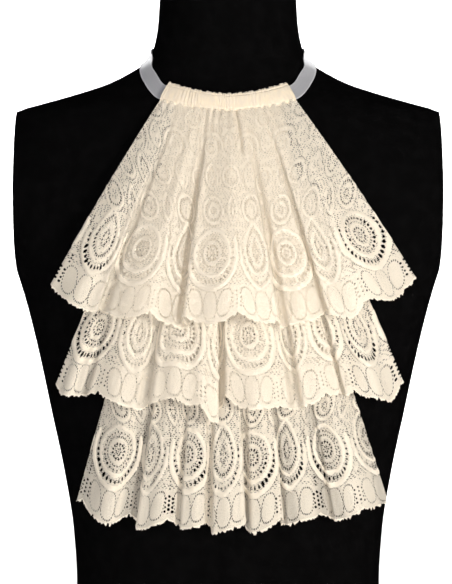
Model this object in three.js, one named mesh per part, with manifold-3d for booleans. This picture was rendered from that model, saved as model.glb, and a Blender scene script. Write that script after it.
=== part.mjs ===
// A three-tiered lace jabot on a black limbless dress form.
// Millimetres, +Z up, the wearer's front towards -Y, origin at the middle of the form's flat base.
// Every cloth piece is a thin wall: a middle surface worked out from sizes and fold tables, moved out to both sides.

import * as THREE from "three";
import Module from "manifold-3d";
import { mergeVertices } from "three/addons/utils/BufferGeometryUtils.js";

const wasm = await Module();
wasm.setup();

const { PI, abs, cos, hypot, max, min, sin, sqrt } = Math;
const radians = THREE.MathUtils.degToRad;
const lerp = THREE.MathUtils.lerp;

// ---- Driving dimensions ----

const SHOULDER_WIDTH = 392; // between the form's two flat arm plates
const FORM_SIDES = 48; // facets round the form

// The form's outline at each height: half its width, how far its front and back stand from its upright axis,
// and how square its section is (2 is an ellipse).
const FORM_SECTIONS = [
  { z: 0, halfWidth: 156, front: 93, back: 99, square: 2.3 },
  { z: 4, halfWidth: 159, front: 96, back: 102, square: 2.3 },
  { z: 45, halfWidth: 150, front: 91, back: 97, square: 2.25 },
  { z: 95, halfWidth: 140.5, front: 85, back: 90, square: 2.2 },
  { z: 144, halfWidth: 143.5, front: 88, back: 90, square: 2.2 },
  { z: 198, halfWidth: 152, front: 93, back: 93, square: 2.25 },
  { z: 252, halfWidth: 163.5, front: 98, back: 98, square: 2.3 },
  { z: 306, halfWidth: 175, front: 103, back: 104, square: 2.35 },
  { z: 349, halfWidth: 185.5, front: 106.5, back: 107, square: 2.4 },
  { z: 376, halfWidth: 193.5, front: 108, back: 109, square: 2.35 },
  { z: 386, halfWidth: 197.2, front: 107.8, back: 109.5, square: 2.3 },
  { z: 396, halfWidth: 201.5, front: 107.5, back: 110, square: 2.3 },
  { z: 411, halfWidth: 208.5, front: 106.5, back: 110.5, square: 2.3 },
  { z: 428, halfWidth: 215, front: 105, back: 111, square: 2.3 },
  { z: 463, halfWidth: 223, front: 99.5, back: 110, square: 2.3 },
  { z: 496, halfWidth: 220, front: 90, back: 106, square: 2.15 },
  { z: 521, halfWidth: 210, front: 81.5, back: 100, square: 1.95 },
  { z: 531, halfWidth: 201, front: 77, back: 96, square: 1.85 },
  { z: 538.5, halfWidth: 176, front: 74, back: 92, square: 1.8 },
  { z: 547.5, halfWidth: 144, front: 70, back: 86, square: 1.75 },
  { z: 558, halfWidth: 112, front: 66, back: 80, square: 1.75 },
  { z: 569, halfWidth: 90, front: 64, back: 74, square: 1.85 },
  { z: 579, halfWidth: 75, front: 62.5, back: 70, square: 1.95 },
  { z: 590, halfWidth: 69.5, front: 61.5, back: 67, square: 2 },
  { z: 610, halfWidth: 65.5, front: 60.5, back: 64.5, square: 2 },
  { z: 652, halfWidth: 62, front: 60, back: 63, square: 2 },
  { z: 655, halfWidth: 58.5, front: 56.5, back: 59.5, square: 2 },
];

// Height of the neckline's middle at each bearing round the neck, from straight ahead.
const NECKLINE = [
  { bearing: 0, z: 538 },
  { bearing: 20, z: 539.2 },
  { bearing: 40, z: 543 },
  { bearing: 58, z: 561 },
  { bearing: 78, z: 579 },
  { bearing: 100, z: 585 },
  { bearing: 130, z: 588 },
  { bearing: 180, z: 590 },
];

const CLOTH_THICKNESS = 1.2; // lace with its raised cords
const SEAM_GAP = 1; // between the casing and the gathered edge sewn to it

const RIBBON_WIDTH = 16;
const RIBBON_THICKNESS = 1;
const RIBBON_LIFT = 1.7; // the ribbon's middle above the form
const RIBBON_START = 34; // bearing where a ribbon's sewn end lies behind the casing
const NAPE_LAP = 12; // how far each ribbon's free end passes the nape, in degrees
const LAP_LIFT = 1.5; // how much higher the upper ribbon lies in the lap

const CASING_HEIGHT = 18;
const CASING_END = 40; // bearing of the casing's ends
const CASING_INSIDE = 2.8; // its inner face above the form
const CASING_EDGE = 1.2; // its thickness at the top and bottom edges
const CASING_CROWN = 3; // its thickness in the middle, over the ribbon
const CASING_RIBS = 24; // gathers along the casing
const RIB_RELIEF = 0.45;
const HEADING_RAGGED = 0.9; // how far the gathered heading rises and falls along the top edge

const LACE_DEPTH = 205; // from the gathered edge to the deepest point of a scallop
const LACE_REPEAT = 104;
const COLUMNS_PER_REPEAT = 18;
const SCALLOPS_PER_REPEAT = 2;
const SCALLOP_DEPTH = 8;
const GATHER_CLOTH = 22.5; // cloth taken up by one gather at the seam
const GATHER_RELIEF = 1.1;
const GATHER_FADE = 9; // power with which the gathers die out down the cloth

const HANG_Z = 382; // the chest's furthest point forward, below which the cloth hangs free
const SIDE_FALL = 0.0023; // how fast the cloth falls back from the middle, per mm squared

// Open gaps of the lace over 4 mm: the column and row of the wall they lie in, and the share of that cell they take.
const GAP_ACROSS = [0.13, 0.87];
const CUSP_GAPS = { columns: [0, 8, 9, 17], alongCell: [0.3, 0.72] };
const SWAG_GAPS = { columns: [3, 4, 5, 12, 13, 14], alongCell: [0.74, 0.96] };

// A fold is a broad face, which rises and falls, and then a narrow hollow, which goes back and forth again.
// Each of the four stretches has its length of cloth along the hem and how far the cloth turns from the hem's
// line at its steepest, in degrees. Past 90 the face overlaps the hollow.
const TOP_FOLDS = [
  { rise: 22, riseTurn: 32, fall: 22, fallTurn: 38, back: 11, backTurn: 72, forth: 11, forthTurn: 70 },
  { rise: 29, riseTurn: 24, fall: 29, fallTurn: 28, back: 14, backTurn: 66, forth: 24, forthTurn: 118 },
  { rise: 40, riseTurn: 28, fall: 41, fallTurn: 28, back: 21, backTurn: 106, forth: 14, forthTurn: 66 },
  { rise: 13, riseTurn: 18, fall: 12, fallTurn: 18, back: 11, backTurn: 84, forth: 16, forthTurn: 108 },
  { rise: 43, riseTurn: 36, fall: 43, fallTurn: 40, back: 0, backTurn: 0, forth: 0, forthTurn: 0 },
];
const MIDDLE_FOLDS = [
  { rise: 13, riseTurn: 62, fall: 13, fallTurn: 56, back: 9, backTurn: 66, forth: 9, forthTurn: 66 },
  { rise: 20, riseTurn: 28, fall: 20, fallTurn: 28, back: 13, backTurn: 52, forth: 17, forthTurn: 74 },
  { rise: 16, riseTurn: 22, fall: 15, fallTurn: 18, back: 0, backTurn: 0, forth: 0, forthTurn: 0 },
  { rise: 12, riseTurn: 30, fall: 12, fallTurn: 34, back: 24, backTurn: 122, forth: 19, forthTurn: 84 },
  { rise: 26, riseTurn: 32, fall: 28, fallTurn: 34, back: 13, backTurn: 58, forth: 17, forthTurn: 80 },
  { rise: 14, riseTurn: 28, fall: 14, fallTurn: 28, back: 20, backTurn: 118, forth: 15, forthTurn: 90 },
  { rise: 29, riseTurn: 40, fall: 28, fallTurn: 42, back: 0, backTurn: 0, forth: 0, forthTurn: 0 },
];
const BOTTOM_FOLDS = [
  { rise: 29, riseTurn: 46, fall: 27, fallTurn: 44, back: 9, backTurn: 50, forth: 17, forthTurn: 122 },
  { rise: 16, riseTurn: 24, fall: 15, fallTurn: 24, back: 9, backTurn: 52, forth: 14, forthTurn: 116 },
  { rise: 9, riseTurn: 22, fall: 8, fallTurn: 24, back: 12, backTurn: 86, forth: 14, forthTurn: 94 },
  { rise: 12, riseTurn: 24, fall: 12, fallTurn: 20, back: 22, backTurn: 126, forth: 14, forthTurn: 70 },
  { rise: 12, riseTurn: 22, fall: 12, fallTurn: 22, back: 15, backTurn: 122, forth: 8, forthTurn: 62 },
  { rise: 18, riseTurn: 30, fall: 19, fallTurn: 26, back: 8, backTurn: 90, forth: 8, forthTurn: 88 },
  { rise: 29, riseTurn: 46, fall: 28, fallTurn: 46, back: 0, backTurn: 0, forth: 0, forthTurn: 0 },
];

// Each tier: the columns of a repeat that are cut off before its first edge, where its hem starts on the
// wearer's right, how far its hem stands in front of the hanging line, how it spreads and how its folds open
// down its depth (1 is evenly), its seam on the backing, and the rows of its wall from seam to hem.
const TIERS = [
  {
    name: "tier_top",
    folds: TOP_FOLDS,
    phase: 9,
    hemStart: -159,
    hemLift: 47,
    spread: 1,
    opening: 1,
    rows: [0, 0.06, 0.16, 0.3, 0.45, 0.58, 0.7, 0.825, 0.88, 0.95, 1],
    cuspRow: 8,
    swagRow: 6,
  },
  {
    name: "tier_middle",
    folds: MIDDLE_FOLDS,
    phase: 0,
    hemStart: -155,
    hemLift: 29,
    spread: 0.85,
    opening: 1.4,
    seam: { z: 462, halfWidth: 70 },
    rows: [0, 0.1, 0.28, 0.45, 0.58, 0.7, 0.825, 0.88, 0.95, 1],
    cuspRow: 7,
    swagRow: 5,
  },
  {
    name: "tier_bottom",
    folds: BOTTOM_FOLDS,
    phase: 17,
    hemStart: -137,
    hemLift: 11.5,
    spread: 0.9,
    opening: 1.6,
    seam: { z: 359, halfWidth: 80 },
    rows: [0, 0.1, 0.28, 0.45, 0.58, 0.7, 0.825, 0.88, 0.95, 1],
    cuspRow: 7,
    swagRow: 5,
  },
];
const SEAM_LIFT = 5.2; // a lower tier's gathered edge above the form

const BACKING_LIFT = 1.6; // its middle above the form
const BACKING_TOP_Z = 540;
const BACKING_BOTTOM_Z = 351;
const BACKING_TOP_HALF = 47;
const BACKING_BOTTOM_HALF = 84;
const BACKING_COLUMNS = 10;
const BACKING_ROWS = 9;

// ---- Materials ----

const lace = () => new THREE.MeshStandardMaterial({ color: 0xede3d3, roughness: 0.85, metalness: 0 });
const satin = () => new THREE.MeshStandardMaterial({ color: 0xd9d6d8, roughness: 0.4, metalness: 0 });
const blackCover = () => new THREE.MeshStandardMaterial({ color: 0x0b0b0c, roughness: 0.8, metalness: 0 });
const plainCloth = () => new THREE.MeshStandardMaterial({ color: 0xe9e0d2, roughness: 0.9, metalness: 0 });

// ---- Curves through tables ----

// A smooth curve through one column of a table: a cubic whose slope at each row is the harmonic mean of the
// slopes on its two sides, so that it never swings past a row.
function curveThrough(table, key, column) {
  const x = table.map((row) => row[key]);
  const y = table.map((row) => row[column]);
  const steps = x.slice(1).map((next, i) => (y[i + 1] - y[i]) / (next - x[i]));
  const slopes = x.map((_, i) => {
    const before = steps[max(i - 1, 0)];
    const after = steps[min(i, steps.length - 1)];
    return before * after > 0 ? (2 * before * after) / (before + after) : 0;
  });
  return (at) => {
    const i = min(max(x.findLastIndex((knot) => knot <= at), 0), steps.length - 1);
    const span = x[i + 1] - x[i];
    const t = min(max((at - x[i]) / span, 0), 1);
    const rest = 1 - t;
    return (
      y[i] * rest * rest * (1 + 2 * t) +
      y[i + 1] * t * t * (1 + 2 * rest) +
      slopes[i] * span * t * rest * rest -
      slopes[i + 1] * span * t * t * rest
    );
  };
}

const halfWidthAt = curveThrough(FORM_SECTIONS, "z", "halfWidth");
const frontAt = curveThrough(FORM_SECTIONS, "z", "front");
const backAt = curveThrough(FORM_SECTIONS, "z", "back");
const squareAt = curveThrough(FORM_SECTIONS, "z", "square");
const necklineAt = curveThrough(NECKLINE, "bearing", "z");

// ---- The form's skin ----

// Distance of the skin from the upright axis, at a bearing in degrees from straight ahead towards +X.
function skinRadius(bearing, z) {
  const power = squareAt(z);
  const ahead = cos(radians(bearing));
  const depth = ahead > 0 ? frontAt(z) : backAt(z);
  const across = abs(sin(radians(bearing))) / halfWidthAt(z);
  return (across ** power + (abs(ahead) / depth) ** power) ** (-1 / power);
}

// Y of the form's front at x and z.
function chestY(x, z) {
  const power = squareAt(z);
  return -frontAt(z) * (1 - abs(x / halfWidthAt(z)) ** power) ** (1 / power);
}

// Y of cloth that hangs over the chest with no fold in it.
function hangingY(x, z) {
  return SIDE_FALL * x * x - frontAt(max(z, HANG_Z));
}

// A point near the neckline: up from its middle along the skin's own slope, and lifted square off the skin.
function neckPoint(bearing, up, lift) {
  const middle = necklineAt(abs(bearing > 180 ? bearing - 360 : bearing));
  const reach = CASING_HEIGHT / 2;
  const slope = (skinRadius(bearing, middle + reach) - skinRadius(bearing, middle - reach)) / (2 * reach);
  const tilt = hypot(1, slope);
  const z = middle + up / tilt;
  const radius = skinRadius(bearing, z) + lift / tilt;
  const angle = radians(bearing);
  return new THREE.Vector3(radius * sin(angle), -radius * cos(angle), z - (lift * slope) / tilt);
}

// ---- Walls ----

// A closed shell from a front and a back grid of points, rows by columns. Each gap is a cell with a
// rectangular opening through both sides, given as shares of the cell across and along.
function shell(front, back, gaps = []) {
  const rows = front.length - 1;
  const columns = front[0].length - 1;
  const points = [];
  const triangles = [];
  const put = (p) => points.push(p.x, p.y, p.z) / 3 - 1;
  const grids = [front, back].map((grid) => grid.map((row) => row.map(put)));
  const quad = (a, b, c, d) => triangles.push(a, b, c, a, c, d);
  const gapAt = new Map(gaps.map((gap) => [`${gap.row},${gap.column}`, gap]));

  // The gap's four corners on one side, going round the cell from its first corner.
  const gapCorners = (grid, i, j, gap) =>
    [[0, 0], [0, 1], [1, 1], [1, 0]].map(([along, across]) => {
      const upper = grid[i][j].clone().lerp(grid[i][j + 1], gap.across[across]);
      const lower = grid[i + 1][j].clone().lerp(grid[i + 1][j + 1], gap.across[across]);
      return put(upper.lerp(lower, gap.along[along]));
    });

  for (let i = 0; i < rows; i++) {
    for (let j = 0; j < columns; j++) {
      const cell = grids.map((g) => [g[i][j], g[i][j + 1], g[i + 1][j + 1], g[i + 1][j]]);
      const gap = gapAt.get(`${i},${j}`);
      if (!gap) {
        const [a, b] = cell;
        quad(a[3], a[2], a[1], a[0]);
        quad(b[0], b[1], b[2], b[3]);
        continue;
      }
      const inner = [front, back].map((grid) => gapCorners(grid, i, j, gap));
      for (let k = 0; k < 4; k++) {
        const n = (k + 1) % 4;
        quad(cell[0][n], cell[0][k], inner[0][k], inner[0][n]);
        quad(cell[1][k], cell[1][n], inner[1][n], inner[1][k]);
        quad(inner[0][n], inner[0][k], inner[1][k], inner[1][n]);
      }
    }
  }
  const [a, b] = grids;
  for (let j = 0; j < columns; j++) {
    quad(a[0][j], a[0][j + 1], b[0][j + 1], b[0][j]);
    quad(a[rows][j + 1], a[rows][j], b[rows][j], b[rows][j + 1]);
  }
  for (let i = 0; i < rows; i++) {
    quad(a[i + 1][0], a[i][0], b[i][0], b[i + 1][0]);
    quad(a[i][columns], a[i + 1][columns], b[i + 1][columns], b[i][columns]);
  }
  const geometry = new THREE.BufferGeometry();
  geometry.setAttribute("position", new THREE.Float32BufferAttribute(points, 3));
  geometry.setIndex(triangles);
  return geometry;
}

// The directions square to a grid of points, on the side that faces forward when columns run to +X and rows down.
function gridNormals(grid) {
  const last = grid.length - 1;
  const lastColumn = grid[0].length - 1;
  return grid.map((row, i) =>
    row.map((_, j) => {
      const down = grid[min(i + 1, last)][j].clone().sub(grid[max(i - 1, 0)][j]);
      const across = row[min(j + 1, lastColumn)].clone().sub(row[max(j - 1, 0)]);
      return down.cross(across).normalize();
    }),
  );
}

// A wall of even thickness round a middle surface.
function clothWall(middle, thickness, gaps) {
  const normals = gridNormals(middle);
  const moved = (distance) =>
    middle.map((row, i) => row.map((p, j) => p.clone().addScaledVector(normals[i][j], distance)));
  return shell(moved(thickness / 2), moved(-thickness / 2), gaps);
}

function mesh(name, geometry, material) {
  geometry.computeVertexNormals();
  const made = new THREE.Mesh(geometry, material);
  made.name = name;
  return made;
}

// Evenly spaced numbers from first to last, count steps apart.
const steps = (first, last, count) => Array.from({ length: count + 1 }, (_, i) => lerp(first, last, i / count));

// ---- The dress form ----

function toManifold(geometry) {
  const plain = geometry.index ? geometry.toNonIndexed() : geometry.clone();
  plain.deleteAttribute("normal");
  plain.deleteAttribute("uv");
  const merged = mergeVertices(plain, 1e-4);
  return new wasm.Manifold(
    new wasm.Mesh({
      numProp: 3,
      vertProperties: merged.attributes.position.array,
      triVerts: new Uint32Array(merged.index.array),
    }),
  );
}

function fromManifold(solid) {
  const { vertProperties, triVerts } = solid.getMesh();
  const geometry = new THREE.BufferGeometry();
  geometry.setAttribute("position", new THREE.BufferAttribute(vertProperties, 3));
  geometry.setIndex(new THREE.BufferAttribute(triVerts, 1));
  return geometry;
}

// Rings up the torso and neck, closed flat at the base and the neck's top, then cut off upright at the shoulders.
function dressForm() {
  const rings = FORM_SECTIONS.map((section) =>
    Array.from({ length: FORM_SIDES }, (_, k) => {
      const turn = (2 * PI * k) / FORM_SIDES;
      const power = 2 / section.square;
      const ahead = cos(turn);
      const depth = ahead > 0 ? section.front : section.back;
      return new THREE.Vector3(
        section.halfWidth * Math.sign(sin(turn)) * abs(sin(turn)) ** power,
        -depth * Math.sign(ahead) * abs(ahead) ** power,
        section.z,
      );
    }),
  );
  const points = rings.flat();
  const top = rings.length - 1;
  points.push(new THREE.Vector3(0, 0, FORM_SECTIONS[0].z), new THREE.Vector3(0, 0, FORM_SECTIONS[top].z));
  const [baseCentre, topCentre] = [points.length - 2, points.length - 1];
  const triangles = [];
  for (let k = 0; k < FORM_SIDES; k++) {
    const n = (k + 1) % FORM_SIDES;
    for (let i = 0; i < top; i++) {
      const [a, b] = [i * FORM_SIDES + k, i * FORM_SIDES + n];
      triangles.push(a, b, b + FORM_SIDES, a, b + FORM_SIDES, a + FORM_SIDES);
    }
    triangles.push(baseCentre, n, k, topCentre, top * FORM_SIDES + k, top * FORM_SIDES + n);
  }
  const torso = new THREE.BufferGeometry().setFromPoints(points);
  torso.setIndex(triangles);
  const height = FORM_SECTIONS[top].z;
  const between = new THREE.BoxGeometry(SHOULDER_WIDTH, SHOULDER_WIDTH, 2 * height);
  return mesh("dress_form", fromManifold(toManifold(torso).intersect(toManifold(between))), blackCover());
}

// ---- The gathered casing at the neck ----

// A flat inner face, and an outer face that swells over the ribbon and is ribbed by the gathers.
function neckCasing() {
  const bearings = steps(-CASING_END, CASING_END, CASING_RIBS * 3);
  const levels = steps(1, -1, 4);
  const height = (level, j) => {
    const ragged = HEADING_RAGGED * sin(2.3 * j) * sin(0.71 * j);
    return (level * CASING_HEIGHT) / 2 + (level === 1 ? ragged : 0);
  };
  const inner = levels.map((level) => bearings.map((b, j) => neckPoint(b, height(level, j), CASING_INSIDE)));
  const outer = levels.map((level) =>
    bearings.map((b, j) => {
      const swell = lerp(CASING_CROWN, CASING_EDGE, level ** 4);
      const rib = RIB_RELIEF * cos((2 * PI * j) / 3);
      return neckPoint(b, height(level, j), CASING_INSIDE + swell + rib);
    }),
  );
  return mesh("neck_casing", shell(outer, inner), lace());
}

// ---- The ribbons round the neck ----

// side is 1 for the wearer's left and -1 for the right, which lies on top where the two lap at the nape.
function ribbon(name, side) {
  const bearings = steps(RIBBON_START, 180 + NAPE_LAP, 34);
  const across = side > 0 ? bearings : bearings.toReversed();
  const lift = (bearing) => {
    const near = THREE.MathUtils.smoothstep(bearing, 180 - 3 * NAPE_LAP, 180 - 1.4 * NAPE_LAP);
    return RIBBON_LIFT + (side < 0 ? LAP_LIFT * near : 0);
  };
  const face = (offset) =>
    steps(RIBBON_WIDTH / 2, -RIBBON_WIDTH / 2, 2).map((up) =>
      across.map((b) => neckPoint((side * b + 360) % 360, up, lift(b) + offset)),
    );
  return mesh(name, shell(face(RIBBON_THICKNESS / 2), face(-RIBBON_THICKNESS / 2)), satin());
}

// ---- The backing that carries the two lower tiers ----

function backing() {
  const middle = steps(BACKING_TOP_Z, BACKING_BOTTOM_Z, BACKING_ROWS).map((z) => {
    const share = (BACKING_TOP_Z - z) / (BACKING_TOP_Z - BACKING_BOTTOM_Z);
    const half = lerp(BACKING_TOP_HALF, BACKING_BOTTOM_HALF, share);
    return steps(-half, half, BACKING_COLUMNS).map((x) => new THREE.Vector3(x, chestY(x, z) - BACKING_LIFT, z));
  });
  return mesh("backing", clothWall(middle, 1), plainCloth());
}

// ---- The lace tiers ----

const STRETCH_STEPS = 40;

// The hem seen from above: its points across (x) and outwards, at even lengths of cloth. Along each stretch of
// a fold the turn of the cloth is half a sine wave. The hem's mean slope and mean offset are taken out.
function hemLine(folds, hemStart) {
  const line = [{ cloth: 0, x: hemStart, out: 0 }];
  for (const fold of folds) {
    for (const [name, way] of [["rise", 1], ["fall", -1], ["back", -1], ["forth", 1]]) {
      const step = fold[name] / STRETCH_STEPS;
      for (let k = 0; step > 0 && k < STRETCH_STEPS; k++) {
        const angle = way * radians(fold[`${name}Turn`]) * sin((PI * (k + 0.5)) / STRETCH_STEPS);
        const last = line.at(-1);
        line.push({ cloth: last.cloth + step, x: last.x + step * cos(angle), out: last.out + step * sin(angle) });
      }
    }
  }
  const end = line.at(-1);
  const columns = Math.round((end.cloth / LACE_REPEAT) * COLUMNS_PER_REPEAT);
  const even = steps(0, end.cloth, columns).map((cloth) => {
    const i = min(line.findLastIndex((p) => p.cloth <= cloth), line.length - 2);
    const t = (cloth - line[i].cloth) / (line[i + 1].cloth - line[i].cloth);
    const drift = (end.out * cloth) / end.cloth;
    return { x: lerp(line[i].x, line[i + 1].x, t), out: lerp(line[i].out, line[i + 1].out, t) - drift };
  });
  const mean = even.reduce((sum, p) => sum + p.out, 0) / even.length;
  return even.map((p) => ({ x: p.x, out: p.out - mean }));
}

// How much shorter than a scallop's deepest point the lace is, along its hem.
function scallopNotch(cloth) {
  return SCALLOP_DEPTH * (1 - abs(sin((PI * cloth * SCALLOPS_PER_REPEAT) / LACE_REPEAT)) ** 0.75);
}

// The gathered edge of a tier, from end to end: under the casing for the top tier, on the backing for the others.
function gatheredEdge(tier, share) {
  if (!tier.seam) {
    const bearing = lerp(-CASING_END, CASING_END, share);
    return neckPoint(bearing, -CASING_HEIGHT / 2 - SEAM_GAP, CASING_INSIDE + CASING_CROWN / 2);
  }
  const { z, halfWidth } = tier.seam;
  const x = lerp(-halfWidth, halfWidth, share);
  return new THREE.Vector3(x, chestY(x, z) - SEAM_LIFT, z);
}

// Each line of cloth runs from the gathered edge to the hem at its full length. On the way it spreads out,
// its folds open from nothing to the hem's, and its gathers die out.
function laceTier(tier) {
  const hem = hemLine(tier.folds, tier.hemStart);
  const columns = hem.length - 1;
  const lines = hem.map(({ x, out }, j) => {
    const top = gatheredEdge(tier, j / columns);
    const cloth = ((j + tier.phase) * LACE_REPEAT) / COLUMNS_PER_REPEAT;
    const hemY = hangingY(x, top.z - LACE_DEPTH) - tier.hemLift - out;
    const length = LACE_DEPTH - scallopNotch(cloth);
    const drop = sqrt(length ** 2 - (x - top.x) ** 2 - (hemY - top.y) ** 2);
    return { top, x, out, cloth, drop, offset: top.y - hangingY(top.x, top.z) };
  });
  const middle = tier.rows.map((t) =>
    lines.map((line) => {
      const x = lerp(line.top.x, line.x, t ** tier.spread);
      const z = line.top.z - line.drop * t;
      const gather = GATHER_RELIEF * (1 - t) ** GATHER_FADE * cos((2 * PI * line.cloth) / GATHER_CLOTH);
      const seam = line.offset * (1 - t) ** 2;
      const fold = tier.hemLift * (1 - (1 - t) ** 2) + line.out * t ** tier.opening;
      return new THREE.Vector3(x, hangingY(x, z) + seam - fold - gather, z);
    }),
  );
  const gaps = [
    ...gapsIn(columns, tier.phase, tier.cuspRow, CUSP_GAPS),
    ...gapsIn(columns, tier.phase, tier.swagRow, SWAG_GAPS),
  ];
  return mesh(tier.name, clothWall(middle, CLOTH_THICKNESS, gaps), lace());
}

// The gaps of one row of every repeat, kept off the two end columns.
function gapsIn(columns, phase, row, { columns: places, alongCell }) {
  return steps(1, columns - 2, columns - 3)
    .filter((column) => places.includes((column + phase) % COLUMNS_PER_REPEAT))
    .map((column) => ({ row, column, across: GAP_ACROSS, along: alongCell }));
}

// ---- The whole object ----

const jabot = new THREE.Group();
jabot.add(neckCasing(), ribbon("ribbon_left", 1), ribbon("ribbon_right", -1), backing());
jabot.add(...TIERS.map(laceTier));

const model = new THREE.Group();
model.add(dressForm(), jabot);

export default model;
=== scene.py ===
"""A three-tiered lace jabot on a black limbless dress form, with its studio.

The tables are in millimetres and repeat the solids' own sizes. Meshes are in metres: +Z up, the wearer's
front towards -Y, origin at the middle of the form's flat base.
"""

from functools import partial

import bpy
import numpy as np
from bpy.props import FloatProperty, FloatVectorProperty, IntProperty, PointerProperty
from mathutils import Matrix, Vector


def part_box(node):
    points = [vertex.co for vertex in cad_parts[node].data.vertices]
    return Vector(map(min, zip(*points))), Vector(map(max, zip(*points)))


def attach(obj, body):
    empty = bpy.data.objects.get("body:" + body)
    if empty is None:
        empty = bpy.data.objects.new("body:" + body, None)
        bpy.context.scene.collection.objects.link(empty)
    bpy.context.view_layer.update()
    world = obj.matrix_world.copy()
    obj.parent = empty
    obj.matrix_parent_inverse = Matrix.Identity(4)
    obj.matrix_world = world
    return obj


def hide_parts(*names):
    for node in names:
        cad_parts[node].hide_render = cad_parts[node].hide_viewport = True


bl_info = {
    "name": "Tiered lace jabot",
    "version": (1, 0, 0),
    "blender": (4, 5, 0),
    "location": "3D View > Sidebar > Jabot",
    "description": "Builds a tiered lace jabot on ribbon, the dress form that wears it, and a small studio",
    "category": "Object",
}

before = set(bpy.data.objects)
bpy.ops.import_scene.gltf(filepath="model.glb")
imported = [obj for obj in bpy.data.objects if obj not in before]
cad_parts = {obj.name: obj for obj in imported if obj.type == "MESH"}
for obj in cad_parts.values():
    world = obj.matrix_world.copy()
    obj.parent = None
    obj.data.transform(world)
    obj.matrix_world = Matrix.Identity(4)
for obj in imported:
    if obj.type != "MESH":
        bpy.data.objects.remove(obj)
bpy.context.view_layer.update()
PLATE_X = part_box("dress_form")[1][0]
MM = 0.001
TAU = 2 * np.pi

# ---- Sizes in millimetres ----

# The form's outline: height, half width, how far front and back stand from the upright axis, squareness.
FORM_SECTIONS = np.array([
    (0, 156, 93, 99, 2.3), (4, 159, 96, 102, 2.3), (45, 150, 91, 97, 2.25), (95, 140.5, 85, 90, 2.2),
    (144, 143.5, 88, 90, 2.2), (198, 152, 93, 93, 2.25), (252, 163.5, 98, 98, 2.3),
    (306, 175, 103, 104, 2.35), (349, 185.5, 106.5, 107, 2.4), (376, 193.5, 108, 109, 2.35),
    (386, 197.2, 107.8, 109.5, 2.3), (396, 201.5, 107.5, 110, 2.3), (411, 208.5, 106.5, 110.5, 2.3),
    (428, 215, 105, 111, 2.3), (463, 223, 99.5, 110, 2.3), (496, 220, 90, 106, 2.15),
    (521, 210, 81.5, 100, 1.95), (531, 201, 77, 96, 1.85), (538.5, 176, 74, 92, 1.8),
    (547.5, 144, 70, 86, 1.75), (558, 112, 66, 80, 1.75), (569, 90, 64, 74, 1.85),
    (579, 75, 62.5, 70, 1.95), (590, 69.5, 61.5, 67, 2), (610, 65.5, 60.5, 64.5, 2),
    (652, 62, 60, 63, 2), (655, 58.5, 56.5, 59.5, 2),
])
NECKLINE = np.array([(0, 538), (20, 539.2), (40, 543), (58, 561), (78, 579), (100, 585), (130, 588), (180, 590)])

CASING_HEIGHT = 18
CASING_END = 40  # bearing of the casing's ends, in degrees from straight ahead
CASING_RADIUS = 84  # of the neckline in front
CASING_INSIDE = 2.8  # the casing's inner face above the form
CASING_EDGE = 1.2  # its thickness at the top and bottom edges
CASING_CROWN = 3  # its thickness in the middle, over the ribbon
CASING_SAG = 5  # how far it dips at the middle
CASING_FLARE = 2.5  # how much half its height grows towards its ends
CASING_SHADES = ((0.68, 0.64, 0.6), (0.74, 0.685, 0.6))  # its cotton against the tiers', darkest and palest
HEADING_RAGGED = 0.9
STITCH_ROWS = [(0.68, 0.07, 0.9), (-0.86, 0.06, 0.45)]  # height from -1 to 1, reach, how deep it pinches
RIBBON_LIFT = 1.7  # the ribbon's middle above the form
RIBBON_START = 34  # bearing of a ribbon's sewn end, behind the casing
NAPE_LAP = 12  # how far each ribbon's free end passes the nape, in degrees
LAP_LIFT = 1.5  # how much higher the upper ribbon lies in the lap
LACE_DEPTH = 205  # from the gathered edge to the deepest point of a scallop
LACE_REPEAT = 104
COLUMNS_PER_REPEAT = 18  # of the solids' walls
GRID_PER_REPEAT = 72  # of the meshes here
SCALLOP = 52
SCALLOP_DEPTH = 8
HANG_Z = 382  # the chest's fullest height, below which cloth hangs free
SIDE_FALL = 0.0023  # how fast hanging cloth falls back from the middle, per mm squared
GATHER_CLOTH = 22.5  # cloth taken up by one gather at the seam
GATHER_RELIEF = 1.1
GATHER_FADE = 9  # power with which the gathers die out down the cloth
FINE_GATHER_CLOTH = 10.5
FINE_GATHER_DEPTH = 0.5  # share of the depth by which the fine gathers have died out
RUMPLE = 0.75  # height of the low uneven waves over the cloth
SEAM_GAP = 1  # between the casing and the gathered edge sewn to it
SEAM_LIFT = 5.2  # a lower tier's gathered edge above the form
SEAM_TUCK = 0.01  # share of the depth that is tucked in above the gathered edge
DRAWN_IN = (0.5, 0.62)  # width of the design at the gathered edge, and the share of the depth that this fades over
BACKING_LIFT = 1.6
BACKING_Z = (540, 351)  # its top and bottom
BACKING_HALF = (47, 84)  # half its width there

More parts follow.
